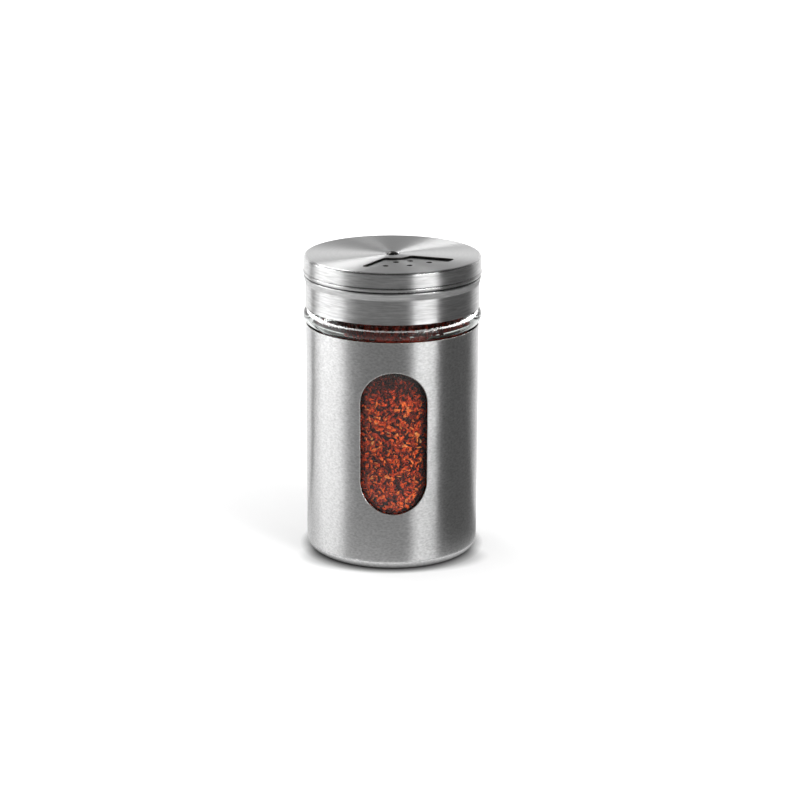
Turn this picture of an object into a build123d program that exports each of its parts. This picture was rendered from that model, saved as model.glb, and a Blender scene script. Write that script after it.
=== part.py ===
from build123d import *
import os
from math import cos, hypot, radians, sin, sqrt

# Spice shaker dispenser: a glass jar bonded into a drawn steel sleeve, under a steel
# screw lid whose top plate is perforated and whose outer cap turns to pick an opening.
# Millimetres. The origin is the middle of the foot, +Z is up and the sight window faces -Y.

# Sleeve: a deep-drawn cup with a slot window
sleeve_radius = 26.0
sleeve_height = 70.2
sleeve_sheet = 0.4
sleeve_corner = 3.0  # outer radius where the wall turns into the base
foot_ring_width = 5.7  # flat ring that the shaker stands on
base_recess_depth = 0.8
base_bend = 1.0
window_width = 19.6
window_height = 43.4
window_sill = 17.7  # lowest point of the window above the foot
window_edge_round = 0.2  # deburred outer edge of the window
rim_round = 0.15

# Glass jar
jar_gap = 0.3  # all round, between the glass and the sleeve
glass_wall = 2.2
glass_floor = 3.0
jar_heel = 5.2
jar_inner_heel = 3.6
punt_depth = 1.2
bead_gap = 0.25  # between the sleeve's rim and the bead of glass above it
bead_round = 2.7  # one curve from the sleeve's rim out over the shoulder
bead_swell = 1.5  # how far the bead stands out from the jar's wall
shoulder_glass = 1.9  # from the foot of the neck down to the inside of the shoulder
shoulder_round = 2.1
neck_height = 12.5
neck_wall = 2.3
lip_round = 0.9

# Hot-melt pads that hold the jar in the sleeve
pad_thickness = 0.8
pad_radius = 1.9
pad_count = 3

# Spice
spice_gap = 0.3
spice_edge_round = 1.0
spice_top_below_neck = 3.6  # level of the spice, below the foot of the neck

# Screw thread, right-handed, on the neck and in the lid
thread_pitch = 4.2
thread_turns = 1.25
thread_depth = 1.3
ridge_root = 2.2  # width of the ridge at its wall
ridge_crest = 1.0
thread_clearance = 0.3  # from each crest to the facing wall
flank_clearance = 0.15
thread_below_lip = 1.6
ridge_bury = 0.25  # how far a ridge starts inside its wall

# Lid shell: lower skirt, stepped shoulder, perforated plate
lid_overhang = 0.05  # lid beyond the sleeve, on the radius
glass_shown = 5.35  # from the sleeve's rim up to the lid's hem
lid_sheet = 0.4
lid_skirt = 7.2
shoulder_step = 0.5
shoulder_height = 2.25
collar_swell = 0.5  # collar of the shoulder beyond the lid's side
collar_height = 0.5  # upright band at its top, above the slope
collar_lap = 0.3  # how far the collar's foot runs down the lid's side
collar_round = 0.25
collar_bend = 1.5
plate_bend = 1.0
hem_flare = 0.12
hem_flare_height = 0.9

# Screw insert moulded inside the lid, and its seal
insert_slip = 0.05
insert_wall = 1.25
insert_flange = 0.9
insert_lift = 1.0  # insert's foot above the lid's hem
flange_cover = 1.8  # flange past the bore of the neck
seal_thickness = 1.0
seal_squeeze_gap = 0.05
seal_inside = 0.5  # seal past the bore of the neck

# Openings of the plate, one station per quarter turn, and one blind quarter
station_count = 4
station_angle = -70.5  # middle of the first station, from +X
fine_hole = 1.8
fine_row_radii = (9.0, 14.1)
fine_row_holes = (2, 3)
fine_pitch = 29.0  # degrees between the holes of a row
coarse_hole = 4.0
coarse_radius = 13.2
coarse_pitch = 27.0
coarse_holes = 3
pour_radius = 12.6
pour_width = 8.4
pour_sweep = 38.0  # degrees between the end centres of the pour slot

# Rotating cap
cap_gap = 0.25  # between the plate and the cap over it
cap_sheet = 0.4
cap_side_gap = 0.55  # between the lid's upper wall and the cap's skirt
cap_bend = 0.9
cap_swell = 0.28  # swelled band above the hem, beyond the cap's side
cap_swell_height = 1.05
cap_curl_radius = 0.32  # curled lower edge
cap_hem_gap = 0.15  # from the hem down to the lid's collar
dimple_radius = 2.5
dimple_depth = 0.22
dimple_slope = 0.45
dimple_round = 0.4
selector_inner = 6.1
selector_margin = 6.8  # from the selector's outer edge to the cap's side
selector_half_angle = 49.5
selector_apex = 1.05  # where the selector's two sides would meet, from the axis
selector_round = 1.0

# Rivet and washers
rivet_radius = 1.3
rivet_head_radius = 1.9
rivet_head_height = 0.95
rivet_slip = 0.03
rivet_play = 0.03  # under the head, so that the cap turns
rivet_tail_radius = 2.1
rivet_tail_height = 0.7
washer_radius = 4.0
washer_thickness = 0.4
spring_sheet = 0.3
spring_rise = 0.6

# Radii
sleeve_inner = sleeve_radius - sleeve_sheet
recess_radius = sleeve_radius - sleeve_corner - foot_ring_width
jar_radius = sleeve_inner - jar_gap
jar_inner = jar_radius - glass_wall
bead_radius = jar_radius + bead_swell
bead_centre = bead_radius - bead_round
lid_radius = sleeve_radius + lid_overhang
lid_inner = lid_radius - lid_sheet
lid_upper = lid_radius - shoulder_step
lid_upper_inner = lid_upper - lid_sheet
collar_radius = lid_radius + collar_swell
insert_outer = lid_upper_inner - insert_slip
insert_inner = insert_outer - insert_wall
neck_radius = insert_inner - thread_clearance - thread_depth
neck_crest = neck_radius + thread_depth
insert_crest = insert_inner - thread_depth
bore_radius = neck_radius - neck_wall
cap_inner = lid_upper + cap_side_gap
cap_radius = cap_inner + cap_sheet
selector_outer = cap_radius - selector_margin
curl_centre = cap_radius - cap_curl_radius

# Heights
pad_floor = sleeve_sheet
jar_foot = pad_floor + pad_thickness
punt_top = jar_foot + punt_depth
jar_floor = punt_top + glass_floor
bead_bottom = sleeve_height + bead_gap
bead_middle = bead_bottom + sqrt(bead_round**2 - (jar_radius - bead_centre) ** 2)
neck_foot = bead_middle + bead_round
shoulder_inside = neck_foot - shoulder_glass
lip = neck_foot + neck_height
hem = sleeve_height + glass_shown
shoulder_foot = hem + lid_skirt
shoulder_top = shoulder_foot + shoulder_height
seal_bottom = lip + seal_squeeze_gap
flange_bottom = seal_bottom + seal_thickness
plate_bottom = flange_bottom + insert_flange
plate_top = plate_bottom + lid_sheet
cap_bottom = plate_top + cap_gap
cap_top = cap_bottom + cap_sheet
insert_foot = hem + insert_lift
spice_top = neck_foot - spice_top_below_neck
dimple_floor = cap_top - dimple_depth
rivet_seat = dimple_floor + rivet_play
spring_bottom = plate_bottom - spring_rise - spring_sheet
washer_bottom = spring_bottom - washer_thickness
curl_height = shoulder_top + cap_hem_gap + cap_curl_radius
swell_top = curl_height + cap_swell_height

# A ridge's two flanks lean alike, so two facing ridges touch at one height apart.
ridge_overlap = thread_depth - thread_clearance
flank_lean = (ridge_root - ridge_crest) / (2 * thread_depth)
ridge_touch = ridge_crest + flank_lean * ridge_overlap
thread_rise = thread_turns * thread_pitch
neck_thread_foot = lip - thread_below_lip - ridge_root / 2 - thread_rise
insert_thread_foot = neck_thread_foot - ridge_touch - flank_clearance


def thread_ridge(wall_radius, crest_radius, foot):
    """A helical ridge from just inside wall_radius out or in to crest_radius."""
    outward = 1 if crest_radius > wall_radius else -1
    buried_radius = wall_radius - outward * ridge_bury
    buried_half = ridge_root / 2 + flank_lean * ridge_bury
    with BuildPart() as ridge:
        with BuildLine() as path:
            Helix(thread_pitch, thread_rise, wall_radius, center=(0, 0, foot))
        with BuildSketch(Plane.XZ):
            with BuildLine():
                Polyline(
                    (buried_radius, foot - buried_half),
                    (crest_radius, foot - ridge_crest / 2),
                    (crest_radius, foot + ridge_crest / 2),
                    (buried_radius, foot + buried_half),
                    close=True,
                )
            make_face()
        sweep(path=path.line, is_frenet=True)
    return ridge.part


def polar(radius, angle):
    """A point of the plan at a radius and an angle in degrees from +X."""
    return (radius * cos(radians(angle)), radius * sin(radians(angle)))


# Steel sleeve
with BuildPart() as steel_sleeve:
    with BuildSketch(Plane.XZ):
        with BuildLine():
            sleeve_line = FilletPolyline(
                (0, base_recess_depth),
                (recess_radius - base_bend, base_recess_depth),
                (recess_radius, 0),
                (sleeve_radius, 0),
                (sleeve_radius, sleeve_height),
                radius=(base_bend, base_bend, sleeve_corner),
            )
            offset(sleeve_line, amount=sleeve_sheet, side=Side.LEFT)
        make_face()
    revolve(axis=Axis.Z)
    with BuildSketch(Plane.XZ):
        with Locations((0, window_sill + window_height / 2)):
            SlotOverall(window_height, window_width, rotation=90)
    extrude(amount=2 * sleeve_radius, mode=Mode.SUBTRACT)
    window_edges = edges(Select.LAST).filter_by(
        lambda edge: hypot(edge.center().X, edge.center().Y) > sleeve_radius - sleeve_sheet / 2
    )
    fillet(window_edges, window_edge_round)
    fillet(edges().group_by(Axis.Z)[-1].sort_by(SortBy.RADIUS)[-1], rim_round)

# Glue pads, on the sleeve's floor under the jar's foot
pad_circle = recess_radius + sleeve_sheet + pad_radius  # clear of the recess's bend
with BuildPart() as glue_pads:
    with BuildSketch(Plane.XY.offset(pad_floor)):
        with PolarLocations(pad_circle, pad_count, start_angle=90):
            Circle(pad_radius)
    extrude(amount=pad_thickness)

# Glass jar
neck_thread = thread_ridge(neck_radius, neck_crest, neck_thread_foot)
with BuildPart() as glass_jar:
    with BuildSketch(Plane.XZ):
        with BuildLine():
            outside = FilletPolyline(
                (0, punt_top),
                (recess_radius - punt_depth, punt_top),
                (recess_radius, jar_foot),
                (jar_radius, jar_foot),
                (jar_radius, bead_bottom),
                radius=(base_bend, base_bend, jar_heel),
            )
            bead = ThreePointArc(
                outside @ 1, (bead_radius, bead_middle), (bead_centre, neck_foot)
            )
            shoulder = Line(bead @ 1, (neck_radius, neck_foot))
            neck_side = Line(shoulder @ 1, (neck_radius, lip - lip_round))
            lip_out = JernArc(neck_side @ 1, (0, 1), lip_round, 90)
            lip_flat = Line(lip_out @ 1, (bore_radius + lip_round, lip))
            lip_in = JernArc(lip_flat @ 1, (-1, 0), lip_round, 90)
            inside = FilletPolyline(
                lip_in @ 1,
                (bore_radius, shoulder_inside),
                (jar_inner, shoulder_inside),
                (jar_inner, jar_floor),
                (0, jar_floor),
                radius=(lip_round, shoulder_round, jar_inner_heel),
            )
            Line(inside @ 1, outside @ 0)
        make_face()
    revolve(axis=Axis.Z)
    add(neck_thread)

# Chilli flakes, filling the jar nearly up to its shoulder
with BuildPart() as chilli_flakes:
    with BuildSketch(Plane.XZ):
        with BuildLine():
            spice_line = FilletPolyline(
                (0, jar_floor + spice_gap),
                (jar_inner - spice_gap, jar_floor + spice_gap),
                (jar_inner - spice_gap, spice_top),
                (0, spice_top),
                radius=(jar_inner_heel, spice_edge_round),
            )
            Line(spice_line @ 1, spice_line @ 0)
        make_face()
    revolve(axis=Axis.Z)

# Lid shell: skirt, stepped shoulder and plate in one drawn piece
with BuildPart() as lid_shell:
    with BuildSketch(Plane.XZ):
        with BuildLine():
            shell_line = FilletPolyline(
                (0, plate_top),
                (lid_upper, plate_top),
                (lid_upper, shoulder_top),
                (lid_radius, shoulder_foot),
                (lid_radius, hem + hem_flare_height),
                (lid_radius + hem_flare, hem),
                radius=(plate_bend, 2 * plate_bend, 2 * plate_bend, 2 * plate_bend),
            )
            offset(shell_line, amount=lid_sheet, side=Side.RIGHT)
        make_face()
        with BuildLine():
            collar_line = FilletPolyline(
                (lid_upper - lid_sheet / 2, shoulder_top),
                (collar_radius, shoulder_top),
                (collar_radius, shoulder_top - collar_height),
                (lid_radius, shoulder_foot),
                (lid_radius, shoulder_foot - collar_lap),
                radius=(collar_round, collar_bend, collar_bend),
            )
            Polyline(
                collar_line @ 1,
                (lid_radius - lid_sheet / 2, shoulder_foot - collar_lap),
                collar_line @ 0,
            )
        make_face()
    revolve(axis=Axis.Z)
    with BuildSketch(Plane.XY.offset(plate_bottom)):
        for row_radius, row_holes in zip(fine_row_radii, fine_row_holes):
            for hole in range(row_holes):
                hole_angle = station_angle + (hole - (row_holes - 1) / 2) * fine_pitch
                with Locations(polar(row_radius, hole_angle)):
                    Circle(fine_hole / 2)
        coarse_station = station_angle - 360 / station_count
        for hole in range(coarse_holes):
            hole_angle = coarse_station + (hole - (coarse_holes - 1) / 2) * coarse_pitch
            with Locations(polar(coarse_radius, hole_angle)):
                Circle(coarse_hole / 2)
        pour_start = station_angle - 720 / station_count - pour_sweep / 2
        with BuildLine(mode=Mode.PRIVATE):
            pour_arc = CenterArc((0, 0), pour_radius, pour_start, pour_sweep)
        SlotArc(pour_arc, pour_width)
        Circle(rivet_radius + rivet_slip)
    extrude(amount=lid_sheet, mode=Mode.SUBTRACT)

# Screw insert, moulded to the inside of the shell
lid_thread = thread_ridge(insert_inner, insert_crest, insert_thread_foot)
insert_step = shoulder_foot - insert_wall
with BuildPart() as thread_insert:
    with BuildSketch(Plane.XZ):
        with BuildLine():
            Polyline(
                (bore_radius - flange_cover, flange_bottom),
                (insert_inner, flange_bottom),
                (insert_inner, insert_foot),
                (lid_inner - insert_slip, insert_foot),
                (lid_inner - insert_slip, insert_step),
                (insert_outer, insert_step + shoulder_step),
                (insert_outer, plate_bottom - plate_bend),
                (insert_outer - plate_bend, plate_bottom),
                (bore_radius - flange_cover, plate_bottom),
                close=True,
            )
        make_face()
    revolve(axis=Axis.Z)
    add(lid_thread)

# Seal between the neck's lip and the insert's flange
with BuildPart() as sealing_gasket:
    with BuildSketch(Plane.XY.offset(seal_bottom)):
        Circle(neck_crest)
        Circle(bore_radius - seal_inside, mode=Mode.SUBTRACT)
    extrude(amount=seal_thickness)

# Rotating cap: dished top with a sector window, skirt, swelled band and curled hem
selector_middle = polar(selector_apex, station_angle)
with BuildPart() as rotating_cap:
    with BuildSketch(Plane.XZ):
        with BuildLine():
            cap_line = FilletPolyline(
                (0, dimple_floor),
                (dimple_radius - dimple_slope, dimple_floor),
                (dimple_radius, cap_top),
                (cap_radius, cap_top),
                (cap_radius, swell_top),
                radius=(dimple_round, dimple_round, cap_bend),
            )
            offset(cap_line, amount=cap_sheet, side=Side.RIGHT)
        make_face()
        with BuildLine():
            band = ThreePointArc(
                (cap_radius, swell_top),
                (cap_radius + cap_swell, swell_top - cap_swell_height / 2),
                (cap_radius, curl_height),
            )
            Polyline(
                band @ 1,
                (cap_radius - cap_sheet, curl_height),
                (cap_radius - cap_sheet, swell_top),
                band @ 0,
            )
        make_face()
        with Locations((curl_centre, curl_height)):
            Circle(cap_curl_radius)
    revolve(axis=Axis.Z)
    with BuildSketch(Plane.XY.offset(cap_bottom)):
        with BuildLine():
            Polyline(
                selector_middle,
                polar(2 * cap_radius, station_angle - selector_half_angle),
                polar(2 * cap_radius, station_angle + selector_half_angle),
                close=True,
            )
        make_face()
        Circle(selector_outer, mode=Mode.INTERSECT)
        Circle(selector_inner, mode=Mode.SUBTRACT)
        fillet(vertices(), selector_round)
    extrude(amount=cap_sheet, mode=Mode.SUBTRACT)
    with BuildSketch(Plane.XY.offset(cap_bottom - dimple_depth)):
        Circle(rivet_radius + rivet_slip)
    extrude(amount=cap_sheet + dimple_depth, mode=Mode.SUBTRACT)

# Centre rivet: domed head, shank, rolled tail
with BuildPart() as centre_rivet:
    with BuildSketch(Plane.XZ):
        with BuildLine():
            dome = TangentArc(
                (0, rivet_seat + rivet_head_height), (rivet_head_radius, rivet_seat), tangent=(1, 0)
            )
            Polyline(
                dome @ 1,
                (rivet_radius, rivet_seat),
                (rivet_radius, washer_bottom),
                (rivet_tail_radius, washer_bottom),
                (rivet_tail_radius, washer_bottom - rivet_tail_height / 2),
                (rivet_tail_radius - rivet_tail_height / 2, washer_bottom - rivet_tail_height),
                (0, washer_bottom - rivet_tail_height),
                dome @ 0,
            )
        make_face()
    revolve(axis=Axis.Z)

# Conical spring washer that holds the cap down, and the flat washer under it
washer_hole = rivet_radius + rivet_slip
with BuildPart() as spring_washer:
    with BuildSketch(Plane.XZ):
        with BuildLine():
            Polyline(
                (washer_hole, spring_bottom),
                (washer_radius, plate_bottom - spring_sheet),
                (washer_radius, plate_bottom),
                (washer_hole, spring_bottom + spring_sheet),
                close=True,
            )
        make_face()
    revolve(axis=Axis.Z)

with BuildPart() as flat_washer:
    with BuildSketch(Plane.XY.offset(washer_bottom)):
        Circle(washer_radius)
        Circle(washer_hole, mode=Mode.SUBTRACT)
    extrude(amount=washer_thickness)

pieces = {
    "steel_sleeve": steel_sleeve,
    "glue_pads": glue_pads,
    "glass_jar": glass_jar,
    "chilli_flakes": chilli_flakes,
    "sealing_gasket": sealing_gasket,
    "lid_shell": lid_shell,
    "thread_insert": thread_insert,
    "rotating_cap": rotating_cap,
    "centre_rivet": centre_rivet,
    "spring_washer": spring_washer,
    "flat_washer": flat_washer,
}
os.makedirs("parts", exist_ok=True)
for name, piece in pieces.items():
    piece.part.label = name
    export_step(piece.part, f"parts/{name}.step")
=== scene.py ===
import math

import bpy
import numpy as np
from mathutils import Matrix


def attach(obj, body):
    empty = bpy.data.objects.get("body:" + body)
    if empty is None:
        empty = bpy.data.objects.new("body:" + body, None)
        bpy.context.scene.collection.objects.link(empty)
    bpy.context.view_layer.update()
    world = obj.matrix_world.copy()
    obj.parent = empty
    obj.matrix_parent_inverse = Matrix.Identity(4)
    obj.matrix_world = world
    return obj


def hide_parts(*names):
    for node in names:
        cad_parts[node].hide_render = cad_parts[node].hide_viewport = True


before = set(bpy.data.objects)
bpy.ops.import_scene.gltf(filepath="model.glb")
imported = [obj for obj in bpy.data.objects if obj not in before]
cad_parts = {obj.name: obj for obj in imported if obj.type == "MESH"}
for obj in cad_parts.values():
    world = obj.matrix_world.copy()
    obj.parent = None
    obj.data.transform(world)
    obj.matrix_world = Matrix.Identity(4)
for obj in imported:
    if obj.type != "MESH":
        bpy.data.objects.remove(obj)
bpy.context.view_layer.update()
mm = 0.001  # one millimetre in Blender's metres
rng = np.random.default_rng(71)
print("frame loaded:", len(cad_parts), "nodes")


def hexToLinear(code):
    # sRGB hex to linear: below 0.04045 a straight line, above it a power of 2.4
    channels = np.array([int(code[i:i + 2], 16) for i in (1, 3, 5)]) / 255
    linear = np.where(channels <= 0.04045, channels / 12.92, ((channels + 0.055) / 1.055) ** 2.4)
    return (*[float(c) for c in linear], 1.0)


def addNode(tree, kind, settings=None, links=None):
    # settings are the node's own options or its sockets' values, links maps a socket to what feeds it
    node = tree.nodes.new(kind)
    for key, value in (settings or {}).items():
        if isinstance(key, str) and hasattr(node, key):
            setattr(node, key, value)
        else:
            node.inputs[key].default_value = value
    for key, source in (links or {}).items():
        tree.links.new(source, node.inputs[key])
    return node


def newMaterial(name):
    material = bpy.data.materials.new(name)
    material.use_nodes = True
    material.node_tree.nodes.clear()
    return material, material.node_tree


def setRamp(node, stops):
    # stops are (place, hex colour or grey level), the first two take over the ramp's own
    elements = node.color_ramp.elements
    while len(elements) < len(stops):
        elements.new(0.5)
    for element, (place, level) in zip(elements, stops):
        element.position = place
        element.color = hexToLinear(level) if isinstance(level, str) else (level, level, level, 1)
    return node


def finishMaterial(tree, shader):
    addNode(tree, "ShaderNodeOutputMaterial", links={"Surface": shader})


# brushed stainless steel

steel = {
    "colour": "#cccccc",
    "roughness": 0.4,
    "bendRoughness": 0.26,
    "underRoughness": 0.6,
    "underShare": 1.0,
    "anisotropy": 0.97,
    "linePitch": 0.5,  # mm; the eye sees bundles of brush lines, each line is about 0.03 mm
    "lineDrift": 5.0,  # mm along a line before it fades into the next
    "lineTint": 0.22,
    "edgeRadius": 24.6,  # mm; inside it an upright face is the sheared edge of an opening, painted dark as shade
    "edgeFoot": 0.0,  # mm; below this height nothing is sheared
    "edgeTilt": 0.4,  # how far a face may lean and still count as upright
    # the sheared edges' dark steel colour is painted shade
    "edgeShadeColour": "#4a4846",
    "edgeBreak": 0.05,  # mm, radius of every broken edge
    "paintedEdgeHighlight": 0.0,  # how far a broken edge takes a lighter steel colour, a painted highlight
    "paintedCreviceShadeReach": 0.9,  # mm; painted shade darkens the steel's colour where another piece is this close
    "topCalm": 0.7,  # share of the lines' contrast lost on the flat top
    "wave": 0.05,  # mm; the sheet isn't quite round, so the bands of light waver
}
# the sleeve has short strokes, crossed by handling, and its foot's bend is left smooth
sleeveSteel = steel | {
    "lineDrift": 0.9, "lineTint": 0.2, "underRoughness": 0.22, "edgeRadius": 25.85, "edgeFoot": 8.0,
    "edgeTilt": 2.0, "edgeBreak": 0.4, "paintedEdgeHighlight": 1.0, "paintedCreviceShadeReach": 0.3, "wave": 0.3}
capSteel = steel | {"underShare": 0.0}  # its rolled hem was brushed with the side


def brushedSteel(name, look):
    # 304 stainless sheet, brushed while it turned: fine rings round the axis, so light spreads across them
    material, tree = newMaterial(name)
    place = addNode(tree, "ShaderNodeTexCoord").outputs["Object"]
    split = addNode(tree, "ShaderNodeSeparateXYZ", links={0: place})
    flat = addNode(tree, "ShaderNodeCombineXYZ", links={"X": split.outputs["X"], "Y": split.outputs["Y"]})
    radius = addNode(tree, "ShaderNodeVectorMath", {"operation": "LENGTH"}, {0: flat.outputs[0]})
    # across the lines: radius plus height, which runs on from the top over the rim and down the side
    across = addNode(tree, "ShaderNodeMath", {"operation": "ADD"},
                     {0: radius.outputs["Value"], 1: split.outputs["Z"]})
    lines = addNode(tree, "ShaderNodeMath", {"operation": "MULTIPLY", 1: 1 / (look["linePitch"] * mm)},
                    {0: across.outputs[0]})
    drift = addNode(tree, "ShaderNodeVectorMath", {
        "operation": "SCALE", "Scale": 1 / (look["lineDrift"] * mm)}, {0: flat.outputs[0]})
    driftSplit = addNode(tree, "ShaderNodeSeparateXYZ", links={0: drift.outputs[0]})
    lineSpace = addNode(tree, "ShaderNodeCombineXYZ", links={
        "X": driftSplit.outputs["X"], "Y": driftSplit.outputs["Y"], "Z": lines.outputs[0]})
    fine = addNode(tree, "ShaderNodeTexNoise", {"Scale": 1.0, "Detail": 3.0, "Roughness": 0.6},
                   {"Vector": lineSpace.outputs[0]})
    # soft clouds where the belt pressed harder or lighter
    cloud = addNode(tree, "ShaderNodeTexNoise", {"Scale": 1 / (14 * mm), "Detail": 1.5}, {"Vector": place})
    tint = addNode(tree, "ShaderNodeMapRange", {
        "From Min": 0.3, "From Max": 0.7, "To Min": 1 - look["lineTint"], "To Max": 1 + look["lineTint"]},
        {"Value": fine.outputs["Fac"]})
    facing = addNode(tree, "ShaderNodeNewGeometry").outputs["Normal"]
    upward = addNode(tree, "ShaderNodeSeparateXYZ", links={0: facing})
    tilt = addNode(tree, "ShaderNodeMath", {"operation": "ABSOLUTE"}, {0: upward.outputs["Z"]})
    calm = addNode(tree, "ShaderNodeMapRange", {
        "From Min": 0.9, "To Min": 1.0, "To Max": 1 - look["topCalm"]}, {"Value": tilt.outputs[0]})
    colour = addNode(tree, "ShaderNodeMix", {
        "data_type": "RGBA", "blend_type": "MULTIPLY", "A": hexToLinear(look["colour"])},
        {"Factor": calm.outputs[0], "B": tint.outputs[0]})
    # painted shade: an ambient-occlusion node darkens the steel's colour in creases and where pieces lie
    # close
    paintedCreviceShade = addNode(tree, "ShaderNodeAmbientOcclusion", {
        "samples": 6, "Distance": look["paintedCreviceShadeReach"] * mm}, {"Color": colour.outputs[2]})
    rough = addNode(tree, "ShaderNodeMapRange", {
        "To Min": look["roughness"] - 0.05, "To Max": look["roughness"] + 0.05},
        {"Value": fine.outputs["Fac"]})
    roughCloud = addNode(tree, "ShaderNodeMapRange", {"To Min": -0.03, "To Max": 0.03},
                         {"Value": cloud.outputs["Fac"]})
    flatRough = addNode(tree, "ShaderNodeMath", {"operation": "ADD"},
                        {0: rough.outputs[0], 1: roughCloud.outputs[0]})
    # the belt misses tight bends, which keep the smooth skin of the press
    bend = setRamp(addNode(tree, "ShaderNodeValToRGB", links={0: upward.outputs["Z"]}), [
        (0.0, "#000000"), (0.10, "#000000"), (0.26, "#ffffff"), (0.93, "#ffffff"), (0.99, "#000000"),
        (1.0, "#000000")])
    roughness = addNode(tree, "ShaderNodeMix", {"data_type": "FLOAT", "B": look["bendRoughness"]},
                        {"Factor": bend.outputs[0], "A": flatRough.outputs[0]})
    broken = addNode(tree, "ShaderNodeBevel", {"samples": 6, "Radius": look["edgeBreak"] * mm})
    wavy = addNode(tree, "ShaderNodeBump", {"Strength": 1.0, "Distance": look["wave"] * mm},
                   {"Height": cloud.outputs["Fac"], "Normal": broken.outputs[0]})
    bump = addNode(tree, "ShaderNodeBump", {"Strength": 0.12, "Distance": 0.02 * mm},
                   {"Height": fine.outputs["Fac"], "Normal": wavy.outputs[0]})
    tangent = addNode(tree, "ShaderNodeTangent", {"direction_type": "RADIAL", "axis": "Z"})
    shader = addNode(tree, "ShaderNodeBsdfPrincipled", {
        "Metallic": 1.0, "Anisotropic": look["anisotropy"], "Anisotropic Rotation": 0.25}, {
        "Base Color": paintedCreviceShade.outputs["Color"],
        "Roughness": roughness.outputs[0], "Normal": bump.outputs[0], "Tangent": tangent.outputs[0]})
    # faces that turn down were rolled and not brushed: an even matt skin that gathers light from all round
    under = addNode(tree, "ShaderNodeMapRange", {
        "interpolation_type": "SMOOTHSTEP", "From Min": -0.07, "From Max": -0.17, "To Min": 0.0,
        "To Max": look["underShare"]},
        {"Value": upward.outputs["Z"]})
    matt = addNode(tree, "ShaderNodeBsdfPrincipled", {
        "Metallic": 1.0, "Roughness": look["underRoughness"]}, {
        "Base Color": paintedCreviceShade.outputs["Color"], "Normal": bump.outputs[0]})
    rolled = addNode(tree, "ShaderNodeMixShader", links={
        0: under.outputs[0], 1: shader.outputs[0], 2: matt.outputs[0]})
    # sheared edges of the openings are dull, and painted dark as shade where the sheets lie close
    inside = addNode(tree, "ShaderNodeMath", {"operation": "LESS_THAN", 1: look["edgeRadius"] * mm},
                     {0: radius.outputs["Value"]})
    upright = addNode(tree, "ShaderNodeMath", {"operation": "LESS_THAN", 1: look["edgeTilt"]},
                      {0: tilt.outputs[0]})
    above = addNode(tree, "ShaderNodeMath", {"operation": "GREATER_THAN", 1: look["edgeFoot"] * mm},
                    {0: split.outputs["Z"]})
    sheared = addNode(tree, "ShaderNodeMath", {"operation": "MULTIPLY"},
                      {0: inside.outputs[0], 1: upright.outputs[0]})
    sheared = addNode(tree, "ShaderNodeMath", {"operation": "MULTIPLY"},
                      {0: sheared.outputs[0], 1: above.outputs[0]})
    edge = addNode(tree, "ShaderNodeBsdfPrincipled", {
        "Metallic": 1.0, "Roughness": 0.5, "Base Color": hexToLinear(look["edgeShadeColour"])},
        {"Normal": broken.outputs[0]})
    # painted highlight on the broken edge itself: where the bevelled normal leaves the face's own, the
    # steel takes a lighter colour
    turned = addNode(tree, "ShaderNodeVectorMath", {"operation": "DOT_PRODUCT"}, {
        0: broken.outputs[0], 1: facing})
    edgeHighlightMask = addNode(tree, "ShaderNodeMapRange", {
        "From Min": 0.998, "From Max": 0.94, "To Min": 0.0, "To Max": look["paintedEdgeHighlight"]},
        {"Value": turned.outputs["Value"]})
    lighterEdgeSteel = addNode(tree, "ShaderNodeBsdfPrincipled", {
        "Metallic": 1.0, "Roughness": 0.6, "Base Color": hexToLinear("#f4f2ee")})
    withEdgeHighlight = addNode(tree, "ShaderNodeMixShader", links={
        0: edgeHighlightMask.outputs[0], 1: rolled.outputs[0], 2: lighterEdgeSteel.outputs[0]})
    whole = addNode(tree, "ShaderNodeMixShader", links={
        0: sheared.outputs[0], 1: withEdgeHighlight.outputs[0], 2: edge.outputs[0]})
    finishMaterial(tree, whole.outputs[0])
    return material


brushed = brushedSteel("brushedStainless", steel)
satin = brushedSteel("satinStainless", sleeveSteel)
capBrushed = brushedSteel("brushedCapStainless", capSteel)


def plainSteel(name, colour, roughness):
    # turned or stamped stainless, smooth to the eye with faint scuffs
    material, tree = newMaterial(name)
    place = addNode(tree, "ShaderNodeTexCoord").outputs["Object"]
    scuff = addNode(tree, "ShaderNodeTexNoise", {"Scale": 1 / (0.8 * mm), "Detail": 4.0}, {"Vector": place})
    rough = addNode(tree, "ShaderNodeMapRange", {"To Min": roughness * 0.7, "To Max": roughness * 1.4},
                    {"Value": scuff.outputs["Fac"]})
    shader = addNode(tree, "ShaderNodeBsdfPrincipled", {"Metallic": 1.0, "Base Color": hexToLinear(colour)},
                     {"Roughness": rough.outputs[0]})
    finishMaterial(tree, shader.outputs[0])
    return material


# the rivet's steel colour is set dark, a painted dark reflection standing in for the ceiling its polished
# dome mirrors
darkRivetSteel = plainSteel("rivetSteelPaintedDark", "#4c4b4a", 0.07)
washerSteel = plainSteel("stampedWasherSteel", "#b9b7b4", 0.3)


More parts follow.
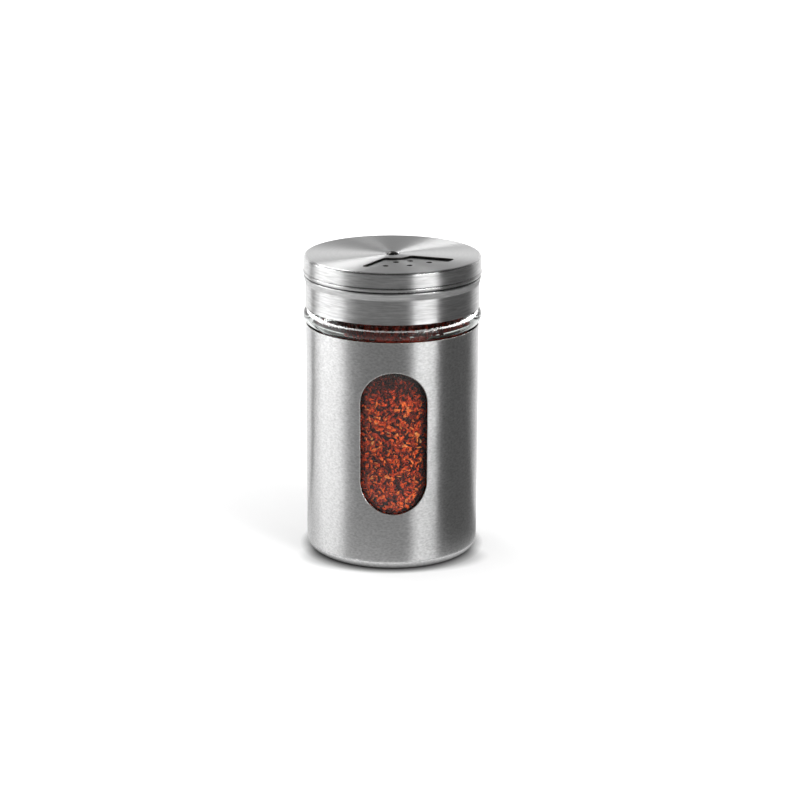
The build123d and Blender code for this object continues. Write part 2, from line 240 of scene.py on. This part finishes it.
def clearGlass(name):
    # pressed soda-lime glass: clear, with a breath of green and shallow mould waves
    material, tree = newMaterial(name)
    place = addNode(tree, "ShaderNodeTexCoord").outputs["Object"]
    wave = addNode(tree, "ShaderNodeTexNoise", {"Scale": 1 / (9 * mm), "Detail": 1.0}, {"Vector": place})
    bump = addNode(tree, "ShaderNodeBump", {"Strength": 0.25, "Distance": 0.15 * mm},
                   {"Height": wave.outputs["Fac"]})
    glass = addNode(tree, "ShaderNodeBsdfPrincipled", {
        "Base Color": hexToLinear("#f6faf8"), "Roughness": 0.0, "IOR": 1.52, "Transmission Weight": 1.0,
        "Specular IOR Level": 0.22},
        {"Normal": bump.outputs[0]})
    # lamps reach what is behind the glass
    lampPass = addNode(tree, "ShaderNodeBsdfTransparent", {"Color": hexToLinear("#eef5f1")})
    path = addNode(tree, "ShaderNodeLightPath")
    mixed = addNode(tree, "ShaderNodeMixShader", links={
        0: path.outputs["Is Shadow Ray"], 1: glass.outputs[0], 2: lampPass.outputs[0]})
    finishMaterial(tree, mixed.outputs[0])
    return material


jarGlass = clearGlass("pressedGlass")


def mouldedPlastic(name, colour, roughness, grain):
    # injection-moulded plastic or rubber: even colour, a fine skin from the mould
    material, tree = newMaterial(name)
    place = addNode(tree, "ShaderNodeTexCoord").outputs["Object"]
    skin = addNode(tree, "ShaderNodeTexNoise", {"Scale": 1 / (grain * mm), "Detail": 3.0},
                   {"Vector": place})
    bump = addNode(tree, "ShaderNodeBump", {"Strength": 0.2, "Distance": 0.02 * mm},
                   {"Height": skin.outputs["Fac"]})
    tint = addNode(tree, "ShaderNodeMapRange", {"To Min": 0.96, "To Max": 1.02},
                   {"Value": skin.outputs["Fac"]})
    blend = addNode(tree, "ShaderNodeMix", {
        "data_type": "RGBA", "blend_type": "MULTIPLY", "Factor": 1.0, "A": hexToLinear(colour)},
        {"B": tint.outputs[0]})
    shader = addNode(tree, "ShaderNodeBsdfPrincipled", {"Roughness": roughness, "Subsurface Weight": 0.1}, {
        "Base Color": blend.outputs[2], "Normal": bump.outputs[0]})
    finishMaterial(tree, shader.outputs[0])
    return material


insertPlastic = mouldedPlastic("whitePolypropylene", "#e9e8e2", 0.4, 0.5)
sealSilicone = mouldedPlastic("milkySilicone", "#dcdad2", 0.55, 0.3)
glueMelt = mouldedPlastic("hotMeltGlue", "#d9cfa6", 0.35, 0.6)

# crushed chilli

chilli = {
    "long": (0.9, 2.2),  # mm, shortest and longest flake
    "slim": (0.42, 0.8),  # width as a share of the length
    "thick": (0.06, 0.13),  # mm, half thickness
    "curl": (0.7, 2.0),  # radians rolled over the half width
    "windowCount": 4100,
    "ringCount": 4100,
    "topCount": 3200,
    "layer": 2.6,  # mm, how deep the loose flakes go before the core
    "glassGap": 0.12,  # mm between the flakes and the glass
    "sightAngle": 0.52,  # radians either side of the window's middle
    "sightHeight": (13.0, 66.0),  # mm
    "ringFoot": 65.0,  # mm
    "darkAbove": (50.0, 55.0, 62.0, 67.0),  # mm; from these heights up the flakes are darker: towards the window's top, and in the ring as painted shade under the lid
    "darkShare": (1.0, 0.4, 0.34, 0.27),  # how much of a flake's tone is left at those heights
    "deepShade": 0.9,  # share of the tone lost at the bottom of the loose layer, painted shade
    "heapDepth": 0.8,  # the heap's top is shaded as this share of the loose layer's depth
    "coreTone": 0.16,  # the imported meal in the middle, nearly black red
    "ragged": 0.13,  # how uneven a flake's rim is, as a share of its size
    "seedShare": 0.01,  # share of pale seeds among the flakes
    "lay": 0.0,  # 0 turns the flakes at random, 1 lays them all along the wall
    "sightHalf": (9.8, 38.8, 11.9),  # mm: the window's half width, middle height and half straight length
    "edgeDark": (0.2, 2.0, 0.42),  # mm inside the window's outline: dark to, full from; share left
}
# what shows through the glass shoulder has settled flat against it
chilliRing = chilli | {"long": (1.6, 4.0), "slim": (0.14, 0.3), "lay": 0.8, "edgeDark": None}


def chilliMaterial(name):
    # dried chilli, crushed: waxy skin outside, paler flesh inside, every flake its own red
    material, tree = newMaterial(name)
    place = addNode(tree, "ShaderNodeTexCoord").outputs["Object"]
    tone = addNode(tree, "ShaderNodeAttribute", {"attribute_name": "tone"})
    mottle = addNode(tree, "ShaderNodeTexNoise", {"Scale": 1 / (0.7 * mm), "Detail": 3.0},
                     {"Vector": place})
    shift = addNode(tree, "ShaderNodeMapRange", {"To Min": -0.16, "To Max": 0.16},
                    {"Value": mottle.outputs["Fac"]})
    level = addNode(tree, "ShaderNodeMath", {"operation": "ADD", "use_clamp": True},
                    {0: tone.outputs["Fac"], 1: shift.outputs[0]})
    colour = setRamp(addNode(tree, "ShaderNodeValToRGB", links={0: level.outputs[0]}), [
        (0.0, "#260a06"), (0.22, "#741a08"), (0.45, "#d63c0c"), (0.7, "#fb5e1a"), (0.92, "#ff8a44"),
        (1.0, "#ffbe8c")])
    bump = addNode(tree, "ShaderNodeBump", {"Strength": 0.5, "Distance": 0.06 * mm},
                   {"Height": mottle.outputs["Fac"]})
    shader = addNode(tree, "ShaderNodeBsdfPrincipled", {
        "Roughness": 0.42, "Specular IOR Level": 0.25}, {
        "Base Color": colour.outputs[0], "Normal": bump.outputs[0]})
    finishMaterial(tree, shader.outputs[0])
    return material


chilliSkin = chilliMaterial("driedChilli")


def spicePiece(name, points, faces, tone, smooth=True):
    # points in millimetres, faces are lists of their indices, tone is one value a point
    mesh = bpy.data.meshes.new(name)
    mesh.from_pydata((points * mm).tolist(), [], faces)
    mesh.polygons.foreach_set("use_smooth", np.full(len(faces), smooth))
    mesh.attributes.new("tone", "FLOAT", "POINT").data.foreach_set("value", tone.astype(np.float32))
    mesh.materials.append(chilliSkin)
    mesh.update()
    piece = bpy.data.objects.new(name, mesh)
    bpy.context.scene.collection.objects.link(piece)
    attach(piece, "bottle")
    return piece


def spiceOutline():
    # widest radius of the CAD spice at each height, in millimetres, from the foot up
    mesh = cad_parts["chilli_flakes"].data
    co = np.empty(len(mesh.vertices) * 3)
    mesh.vertices.foreach_get("co", co)
    co = co.reshape(-1, 3) / mm
    height = np.round(co[:, 2], 1)
    radius = np.hypot(co[:, 0], co[:, 1])
    levels = np.unique(height)
    widest = np.array([radius[height == level].max() for level in levels])
    return levels, widest


spiceLevels, spiceRadii = spiceOutline()
spiceFoot, spiceTop = spiceLevels[0], spiceLevels[-1]


def spiceRadius(height):
    return np.interp(height, spiceLevels, spiceRadii)


def lensGrid():
    # a flake's plan: a 5 by 4 grid pressed into a round outline; rim points are shared by both skins
    across, along = np.meshgrid(np.linspace(-1, 1, 5), np.linspace(-1, 1, 4), indexing="ij")
    squash = np.sqrt(1 - np.minimum(across ** 2, along ** 2) / 2)
    plan = np.stack([across * squash, along * squash], -1).reshape(-1, 2)
    rim = (np.abs(across) > 0.99).ravel() | (np.abs(along) > 0.99).ravel()
    inner = np.flatnonzero(~rim)
    under = np.arange(20)
    under[inner] = 20 + np.arange(len(inner))
    corner = (np.arange(4)[:, None] * 4 + np.arange(3)[None]).ravel()
    top = np.stack([corner, corner + 4, corner + 5, corner + 1], 1)
    bottom = under[top][:, ::-1]
    side = np.where(rim, 0.0, 1.0)
    plan = np.concatenate([plan, plan[inner]])
    lift = np.concatenate([side, -side[inner]])
    return plan, lift, np.concatenate([top, bottom])


def flakes(centres, outward, tilt, look):
    # each flake is the lens grid scaled, rolled over its width, bent along its length, turned and placed
    count = len(centres)
    plan, lift, quads = lensGrid()

    def pick(low, high):
        return rng.uniform(low, high, (count, 1))

    halfLong = pick(*look["long"]) / 2
    halfWide = halfLong * pick(*look["slim"])
    ragged = 1 + rng.normal(0, look["ragged"], (count, len(plan)))
    x = plan[:, 0] * halfLong * ragged
    y = plan[:, 1] * halfWide * ragged
    roll = pick(*look["curl"]) * rng.choice([-1, 1], (count, 1))
    bend = pick(-0.7, 0.7)
    rollRadius = halfWide / roll
    z = rollRadius * (1 - np.cos(y / rollRadius)) + bend * x ** 2 / (2 * halfLong)
    y = rollRadius * np.sin(y / rollRadius)
    z = z + lift * pick(*look["thick"]) + rng.normal(0, 0.02, (count, len(plan)))
    normal = outward + rng.normal(0, tilt, (count, 3))
    normal /= np.linalg.norm(normal, axis=1, keepdims=True)
    spin = rng.normal(0, 1, (count, 3)) * (1 - look["lay"]) + np.array([0, 0, look["lay"]])
    tangent = np.cross(normal, spin)
    tangent /= np.linalg.norm(tangent, axis=1, keepdims=True)
    side = np.cross(normal, tangent)
    points = (centres[:, None] + x[..., None] * tangent[:, None] + y[..., None] * side[:, None]
              + z[..., None] * normal[:, None]).reshape(-1, 3)
    faces = (quads[None] + len(plan) * np.arange(count)[:, None, None]).reshape(-1, 4)
    return points, faces, len(plan)


def keepInGlass(points, look):
    # pull what reaches past the glass back to it, straight towards the axis
    radius = np.hypot(points[:, 0], points[:, 1])
    limit = spiceRadius(points[:, 2]) + 0.3 - look["glassGap"]
    points[:, :2] *= np.minimum(1, limit / np.maximum(radius, 1e-6))[:, None]
    points[:, 2] = np.clip(points[:, 2], spiceFoot, spiceTop)
    return points


def toneOf(heights, depth, perFlake, look):
    # most flakes are mid red, a few nearly black, the odd one a pale seed; painted shade makes them darker
    # deeper in, and darker towards the top
    tone = np.clip(rng.normal(0.61, 0.24, len(heights)), 0.03, 0.92)
    tone[rng.random(len(heights)) < look["seedShare"]] = 0.99
    tone *= np.interp(heights, look["darkAbove"], look["darkShare"]) * (1 - look["deepShade"] * depth)
    return np.repeat(tone, perFlake)


def edgeShade(turned, height, look):
    # the sleeve's edge keeps light off the flakes beside it: half width less the distance to the slot's
    # middle line, in millimetres
    if look["edgeDark"] is None:
        return 1.0
    halfWide, middle, straight = look["sightHalf"]
    across = 22.9 * np.sin(turned)
    beyond = np.maximum(np.abs(height - middle) - straight, 0)
    dark, full, left = look["edgeDark"]
    return np.interp(halfWide - np.hypot(across, beyond), (dark, full), (left, 1.0))


def wallFlakes(name, count, angles, heights, tilt, look):
    turned = rng.uniform(*angles, count)
    angle = turned - math.pi / 2
    height = rng.uniform(*heights, count)
    depth = look["layer"] * rng.random(count) ** 1.4
    radius = spiceRadius(height) - depth
    outward = np.stack([np.cos(angle), np.sin(angle), np.zeros(count)], 1)
    centres = outward * radius[:, None]
    centres[:, 2] = height
    points, faces, each = flakes(centres, outward, tilt, look)
    tone = toneOf(height, depth / look["layer"], each, look)
    tone *= np.repeat(edgeShade(turned, height, look) * np.ones(count), each)
    return spicePiece(name, keepInGlass(points, look), faces.tolist(), tone)


windowFlakes = wallFlakes("windowFlakes", chilli["windowCount"],
                          (-chilli["sightAngle"], chilli["sightAngle"]), chilli["sightHeight"], 0.8, chilli)
ringFlakes = wallFlakes("ringFlakes", chilli["ringCount"], (-math.pi, math.pi),
                        (chilli["ringFoot"], spiceTop - 0.15), 0.2, chilliRing)


def topFlakes(name, count, look):
    # an uneven heap a little below the neck
    angle = rng.uniform(-math.pi, math.pi, count)
    radius = (spiceRadius(spiceTop) + 0.5) * np.sqrt(rng.random(count))
    x, y = radius * np.cos(angle), radius * np.sin(angle)
    mound = 0.3 * np.sin(x / 5.3 + 1) * np.cos(y / 6.1) - 0.45
    centres = np.stack([x, y, spiceTop + mound - 1.0 * rng.random(count) ** 1.5], 1)
    points, faces, each = flakes(centres, np.array([0, 0, 1.0]), 0.5, look)
    return spicePiece(name, keepInGlass(points, look), faces.tolist(),
                      toneOf(np.zeros(count), look["heapDepth"], each, look))


heapFlakes = topFlakes("heapFlakes", chilli["topCount"], chilli)


def coreSurface(around, up, look):
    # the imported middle: the jar's inside drawn in by the flake layer, with bumps of a flake's size
    inset = look["layer"] * 0.8
    low, high = spiceFoot + inset, spiceTop - 1.0
    share = np.linspace(0, 1, up)
    height = low + (high - low) * share
    # near the top the fine meal has worked its way out to the glass
    radius = spiceRadius(height) - np.interp(height, (63, 67), (inset, 0.75))
    radius = np.concatenate([[0.0], radius, [0.0]])
    height = np.concatenate([[low], height, [high]])
    angle = np.linspace(0, 2 * math.pi, around, endpoint=False)
    bumps = rng.normal(0, 0.22, (around, up + 2)) * (radius > 0)
    r = radius[None] + bumps
    grid = np.stack([r * np.cos(angle)[:, None], r * np.sin(angle)[:, None],
                     np.broadcast_to(height, r.shape) + bumps], -1)
    poles = np.array([[0, 0, low], [0, 0, high]])
    points = np.concatenate([grid[:, 1:-1].reshape(-1, 3), poles])
    row = np.arange(around)[:, None] * up
    nextRow = np.roll(row, -1)
    col = np.arange(up - 1)
    quads = np.stack([row + col, nextRow + col, nextRow + col + 1, row + col + 1], -1)
    quads = quads.reshape(-1, 4).tolist()
    bottomPole, topPole = np.full_like(row, around * up), np.full_like(row, around * up + 1)
    bottomFan = np.concatenate([nextRow, row, bottomPole], 1).tolist()
    topFan = np.concatenate([row + up - 1, nextRow + up - 1, topPole], 1).tolist()
    return points, quads + bottomFan + topFan


corePoints, coreFaces = coreSurface(150, 120, chilli)
chilliCore = spicePiece("chilliCore", corePoints, coreFaces, np.full(len(corePoints), chilli["coreTone"]),
                        smooth=False)
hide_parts("chilli_flakes")
print("chilli made")

# each CAD node's finish
nodeFinish = {
    "steel_sleeve": satin,
    "lid_shell": brushed,
    "rotating_cap": capBrushed,
    "centre_rivet": darkRivetSteel,
    "spring_washer": washerSteel,
    "flat_washer": washerSteel,
    "glass_jar": jarGlass,
    "thread_insert": insertPlastic,
    "sealing_gasket": sealSilicone,
    "glue_pads": glueMelt,
}
for nodeName, finish in nodeFinish.items():
    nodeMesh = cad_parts[nodeName].data
    nodeMesh.materials.clear()
    nodeMesh.materials.append(finish)
print("finishes set")

# studio

studio = {
    "floorHalf": 3.0,  # m
    "floorColour": "#d2d2d2",
    "nearGlow": 0.36,
    "farGlow": 0.9,
    "glowReach": (0.03, 0.30),  # m from the shaker, where the glow starts and stops rising
    "contactReach": 0.0032,  # m; how far round the foot the paper is shaded
    "paintedShadowCentre": 0.013,  # m in front of the axis; a soft painted shadow pools there
    "paintedShadowHalf": (0.0305, 0.016),
    "paintedShadowDepth": 0.5,  # share of light left in the painted shadow pool
    "ambient": 0.62,
    "ceiling": 0.03,
    "ceilingBack": 0.52,
    "ceilingFrom": (0.25, 0.55),  # sine of the height above the horizon
    "cardRadius": 0.30,  # m
    "cardFoot": 0.030,
    "cardHeight": 0.55,
    "glassLineHeight": (0.10, 0.19, 0.205, 0.29),  # m; the screen fades in, is full and fades out
    "glassLineGlow": (8.0, 24.0),  # in front, and at the sides
}


def floorMaterial(look):
    # white paper sweep; its glow takes the paper to plain white, and painted shade darkens paper and glow
    # near the foot: a contact shadow, and for the camera a soft shadow pool
    material, tree = newMaterial("paperSweep")
    path = addNode(tree, "ShaderNodeLightPath")
    seen = addNode(tree, "ShaderNodeMath", {"operation": "ADD", "use_clamp": True},
                   {0: path.outputs["Is Camera Ray"], 1: path.outputs["Is Glossy Ray"]})
    seen = addNode(tree, "ShaderNodeMath", {"operation": "ADD", "use_clamp": True},
                   {0: seen.outputs[0], 1: path.outputs["Is Transmission Ray"]})
    place = addNode(tree, "ShaderNodeTexCoord").outputs["Object"]
    distance = addNode(tree, "ShaderNodeVectorMath", {"operation": "LENGTH"}, {0: place})
    rise = addNode(tree, "ShaderNodeMapRange", {
        "From Min": look["glowReach"][0], "From Max": look["glowReach"][1], "To Min": look["nearGlow"],
        "To Max": look["farGlow"]}, {"Value": distance.outputs["Value"]})
    glow = addNode(tree, "ShaderNodeMath", {"operation": "MULTIPLY"},
                   {0: seen.outputs[0], 1: rise.outputs[0]})
    # painted contact shade: an ambient-occlusion node darkens the paper close under the foot
    openness = addNode(tree, "ShaderNodeAmbientOcclusion", {"samples": 8, "Distance": look["contactReach"]})
    # painted shadow: a soft ellipse of shade in front of the foot, seen by the camera only
    across, along = look["paintedShadowHalf"]
    inPaintedShadow = addNode(tree, "ShaderNodeVectorMath", {
        "operation": "MULTIPLY_ADD", 1: (1 / across, 1 / along, 0), 2: (0, look["paintedShadowCentre"] / along, 0)},
        {0: place})
    outward = addNode(tree, "ShaderNodeVectorMath", {"operation": "LENGTH"}, {0: inPaintedShadow.outputs[0]})
    paintedShadowPool = addNode(tree, "ShaderNodeMapRange", {
        "interpolation_type": "SMOOTHSTEP", "From Min": 0.72, "From Max": 1.0, "To Min": look["paintedShadowDepth"],
        "To Max": 1.0}, {"Value": outward.outputs["Value"]})
    seenPaintedShadow = addNode(tree, "ShaderNodeMix", {"data_type": "FLOAT", "A": 1.0},
                       {"Factor": path.outputs["Is Camera Ray"], "B": paintedShadowPool.outputs[0]})
    contact = addNode(tree, "ShaderNodeMath", {"operation": "MULTIPLY"},
                      {0: openness.outputs["AO"], 1: seenPaintedShadow.outputs[0]})
    shade = addNode(tree, "ShaderNodeMix", {
        "data_type": "RGBA", "A": (0, 0, 0, 1), "B": hexToLinear(look["floorColour"])},
        {"Factor": contact.outputs[0]})
    paper = addNode(tree, "ShaderNodeBsdfDiffuse", links={"Color": shade.outputs[2]})
    glow = addNode(tree, "ShaderNodeMath", {"operation": "MULTIPLY"},
                   {0: glow.outputs[0], 1: contact.outputs[0]})
    light = addNode(tree, "ShaderNodeEmission", links={"Strength": glow.outputs[0]})
    both = addNode(tree, "ShaderNodeAddShader", links={0: paper.outputs[0], 1: light.outputs[0]})
    finishMaterial(tree, both.outputs[0])
    return material


def stagePiece(name, points, faces, material):
    mesh = bpy.data.meshes.new(name)
    mesh.from_pydata(points, [], faces)
    mesh.materials.append(material)
    piece = bpy.data.objects.new(name, mesh)
    bpy.context.scene.collection.objects.link(piece)
    return piece


half = studio["floorHalf"]
floorCorners = [(-half, -half, 0), (half, -half, 0), (half, half, 0), (-half, half, 0)]
stagePiece("floor", floorCorners, [(0, 1, 2, 3)], floorMaterial(studio))


def worldLight(look):
    # white behind everything; in reflections it is white up to a low height and a dark ceiling above
    world = bpy.data.worlds.new("studioWorld")
    world.use_nodes = True
    tree = world.node_tree
    tree.nodes.clear()
    path = addNode(tree, "ShaderNodeLightPath")
    direction = addNode(tree, "ShaderNodeTexCoord").outputs["Generated"]
    height = addNode(tree, "ShaderNodeSeparateXYZ", links={0: direction})
    back = addNode(tree, "ShaderNodeMapRange", {
        "interpolation_type": "SMOOTHSTEP", "From Min": -0.1, "From Max": 0.6, "To Min": look["ceiling"],
        "To Max": look["ceilingBack"]}, {"Value": height.outputs["Y"]})
    ceiling = addNode(tree, "ShaderNodeMapRange", {
        "interpolation_type": "SMOOTHSTEP", "From Min": look["ceilingFrom"][0],
        "From Max": look["ceilingFrom"][1], "To Min": 1.0},
        {"Value": height.outputs["Z"], "To Max": back.outputs[0]})
    mirrored = addNode(tree, "ShaderNodeMath", {"operation": "ADD", "use_clamp": True},
                       {0: path.outputs["Is Glossy Ray"], 1: path.outputs["Is Transmission Ray"]})
    ambient = addNode(tree, "ShaderNodeMix", {"data_type": "FLOAT", "A": look["ambient"]},
                      {"Factor": mirrored.outputs[0], "B": ceiling.outputs[0]})
    strength = addNode(tree, "ShaderNodeMix", {"data_type": "FLOAT", "B": 1.0},
                       {"Factor": path.outputs["Is Camera Ray"], "A": ambient.outputs[0]})
    sky = addNode(tree, "ShaderNodeBackground", {"Color": hexToLinear("#ffffff")},
                  {"Strength": strength.outputs[0]})
    addNode(tree, "ShaderNodeOutputWorld", links={"Surface": sky.outputs[0]})
    bpy.context.scene.world = world


worldLight(studio)

# Dark cards round the shaker, seen only in reflections.
# Each stop is (degrees from the front, turning to the right; how much of the white the card covers).
wallStops = [(-180, 0.0), (-132, 0.0), (-129, 0.9), (-122, 0.9), (-119, 0.0), (-72, 0.0), (-55, 0.72),
             (-40, 0.84), (20, 0.9), (26, 0.0), (54, 0.0), (58, 0.95), (118, 0.95), (150, 0.0), (180, 0.0)]
floorStops = [(-180, 0.0), (-132, 0.0), (-129, 0.9), (-122, 0.9), (-119, 0.0), (-72, 0.0), (-55, 0.72),
              (-40, 0.82), (20, 0.84), (58, 0.99), (118, 0.99), (150, 0.0), (180, 0.0)]


def cardMaterial(stops):
    # black card with soft cut edges: the cover goes up and down with the angle round the shaker
    material, tree = newMaterial("blackCard")
    place = addNode(tree, "ShaderNodeTexCoord").outputs["Object"]
    split = addNode(tree, "ShaderNodeSeparateXYZ", links={0: place})
    front = addNode(tree, "ShaderNodeMath", {"operation": "MULTIPLY", 1: -1.0}, {0: split.outputs["Y"]})
    angle = addNode(tree, "ShaderNodeMath", {"operation": "ARCTAN2"},
                    {0: split.outputs["X"], 1: front.outputs[0]})
    share = addNode(tree, "ShaderNodeMapRange", {"From Min": -math.pi, "From Max": math.pi},
                    {"Value": angle.outputs[0]})
    cover = setRamp(addNode(tree, "ShaderNodeValToRGB", links={0: share.outputs[0]}),
                    [((degrees + 180) / 360, amount) for degrees, amount in stops])
    # the card thins out towards the foot, where white paper shows past it
    distance = addNode(tree, "ShaderNodeVectorMath", {"operation": "LENGTH"}, {0: place})
    near = addNode(tree, "ShaderNodeMapRange", {
        "From Min": 0.03, "From Max": 0.12, "To Min": 3.2, "To Max": 1.0},
        {"Value": distance.outputs["Value"]})
    gap = addNode(tree, "ShaderNodeMath", {"operation": "SUBTRACT", 0: 1.0}, {1: cover.outputs[0]})
    gap = addNode(tree, "ShaderNodeMath", {"operation": "MULTIPLY"},
                  {0: gap.outputs[0], 1: near.outputs[0]})
    cover = addNode(tree, "ShaderNodeMath", {"operation": "SUBTRACT", "use_clamp": True, 0: 1.0},
                    {1: gap.outputs[0]})
    # the card glows a little low down, painted light from the table; higher up it is black
    level = addNode(tree, "ShaderNodeMapRange", {
        "interpolation_type": "SMOOTHSTEP", "From Min": 0.12, "From Max": 0.26, "To Min": 0.11,
        "To Max": 0.012},
        {"Value": split.outputs["Z"]})
    card = addNode(tree, "ShaderNodeEmission", links={"Strength": level.outputs[0]})
    clear = addNode(tree, "ShaderNodeBsdfTransparent")
    mixed = addNode(tree, "ShaderNodeMixShader", links={
        0: cover.outputs[0], 1: clear.outputs[0], 2: card.outputs[0]})
    finishMaterial(tree, mixed.outputs[0])
    return material


def reflectionRing(name, rings, material, around=96):
    # rings are (radius, height) pairs joined by bands, seen only in reflections
    angle = np.linspace(0, 2 * math.pi, around, endpoint=False)
    points = np.concatenate([
        np.stack([r * np.cos(angle), r * np.sin(angle), np.full(around, z)], 1) for r, z in rings])
    here = np.arange(around) + np.arange(len(rings) - 1)[:, None] * around
    beside = np.roll(here, -1, axis=1)
    faces = np.stack([here, beside, beside + around, here + around], -1).reshape(-1, 4)
    ring = stagePiece(name, points.tolist(), faces.tolist(), material)
    ring.visible_camera = False
    ring.visible_diffuse = False
    ring.visible_shadow = False
    return ring


# one card lies just over the floor from near the foot outwards, the other stands round it
reflectionRing("floorCard", [(studio["cardFoot"], 0.0006), (studio["cardRadius"], 0.0006)],
               cardMaterial(floorStops))
reflectionRing("wallCard", [(studio["cardRadius"], 0.0006), (studio["cardRadius"], studio["cardHeight"])],
               cardMaterial(wallStops))


def glassLineMaterial(look):
    # a glowing screen seen only in polished glass: a painted highlight line along the glass's shoulder
    material, tree = newMaterial("glassHighlightScreen")
    place = addNode(tree, "ShaderNodeTexCoord").outputs["Object"]
    split = addNode(tree, "ShaderNodeSeparateXYZ", links={0: place})
    level = addNode(tree, "ShaderNodeMapRange", {
        "interpolation_type": "SMOOTHSTEP", "From Min": -0.26, "From Max": -0.04,
        "To Min": look["glassLineGlow"][0], "To Max": look["glassLineGlow"][1]},
        {"Value": split.outputs["Y"]})
    path = addNode(tree, "ShaderNodeLightPath")
    foot, low, high, top = look["glassLineHeight"]
    rise = addNode(tree, "ShaderNodeMapRange", {
        "interpolation_type": "SMOOTHERSTEP", "From Min": foot, "From Max": low},
        {"Value": split.outputs["Z"]})
    fall = addNode(tree, "ShaderNodeMapRange", {
        "interpolation_type": "SMOOTHERSTEP", "From Min": top, "From Max": high},
        {"Value": split.outputs["Z"]})
    share = addNode(tree, "ShaderNodeMath", {"operation": "MULTIPLY"},
                    {0: rise.outputs[0], 1: fall.outputs[0]})
    share = addNode(tree, "ShaderNodeMath", {"operation": "MULTIPLY"},
                    {0: share.outputs[0], 1: path.outputs["Is Singular Ray"]})
    light = addNode(tree, "ShaderNodeEmission", links={"Strength": level.outputs[0]})
    clear = addNode(tree, "ShaderNodeBsdfTransparent")
    mixed = addNode(tree, "ShaderNodeMixShader", links={
        0: share.outputs[0], 1: clear.outputs[0], 2: light.outputs[0]})
    finishMaterial(tree, mixed.outputs[0])
    return material


glassHighlightScreen = reflectionRing(
    "glassHighlightScreen", [(studio["cardRadius"] - 0.004, studio["glassLineHeight"][k]) for k in (0, -1)],
    glassLineMaterial(studio))
glassHighlightScreen.visible_transmission = False


def areaLamp(name, azimuth, elevation, distance, size, radiance, mirrored=True):
    # a soft box: azimuth in degrees from the front turning right; power follows from how bright its face is
    lamp = bpy.data.lights.new(name, "AREA")
    lamp.shape = "RECTANGLE"
    lamp.size, lamp.size_y = size
    lamp.energy = radiance * math.pi * size[0] * size[1]
    holder = bpy.data.objects.new(name, lamp)
    a, e = math.radians(azimuth), math.radians(elevation)
    back = np.array([math.sin(a) * math.cos(e), -math.cos(a) * math.cos(e), math.sin(e)])
    target = np.array([0, 0, 0.045])
    holder.location = target + back * distance
    holder.rotation_euler = (math.pi / 2 - e, 0, a)
    holder.visible_glossy = mirrored
    holder.visible_transmission = mirrored
    bpy.context.scene.collection.objects.link(holder)
    return holder


areaLamp("leftBox", -88, 13, 0.62, (0.50, 0.055), 9.0)
areaLamp("rightBox", 43, 13, 0.65, (0.36, 0.055), 17.5)
areaLamp("backBox", -135, 50, 0.65, (0.30, 0.26), 4.6)
areaLamp("sideFill", 44, 22, 0.70, (0.28, 0.28), 14.5, mirrored=False)

# camera

camera = {
    "distance": 642.0,  # mm from the shaker's axis, level
    "height": 233.7,
    "pitch": 0.2851,  # radians below level
    "orbit": -1.43,  # degrees; the sight window turns a little to the right
    "sideways": 2.4,  # mm
    "roll": 0.26,  # degrees
    "focal": 2202.5 / 800 * 36,  # mm on a 36 mm sensor, from the focal length in pixels
}
cameraData = bpy.data.cameras.new("camera")
cameraData.sensor_width = 36
cameraData.lens = camera["focal"]
cameraData.clip_start = 0.01
cameraObject = bpy.data.objects.new("camera", cameraData)
orbit = math.radians(camera["orbit"])
aside, away = camera["sideways"] * mm, camera["distance"] * mm
cameraObject.location = (aside * math.cos(orbit) + away * math.sin(orbit),
                         aside * math.sin(orbit) - away * math.cos(orbit), camera["height"] * mm)
turn = Matrix.Rotation(orbit, 3, "Z") @ Matrix.Rotation(math.pi / 2 - camera["pitch"], 3, "X")
cameraObject.rotation_euler = (turn @ Matrix.Rotation(math.radians(camera["roll"]), 3, "Z")).to_euler()
bpy.context.scene.collection.objects.link(cameraObject)
bpy.context.scene.camera = cameraObject

bpy.context.scene.view_settings.view_transform = "Standard"
print("studio and camera set")
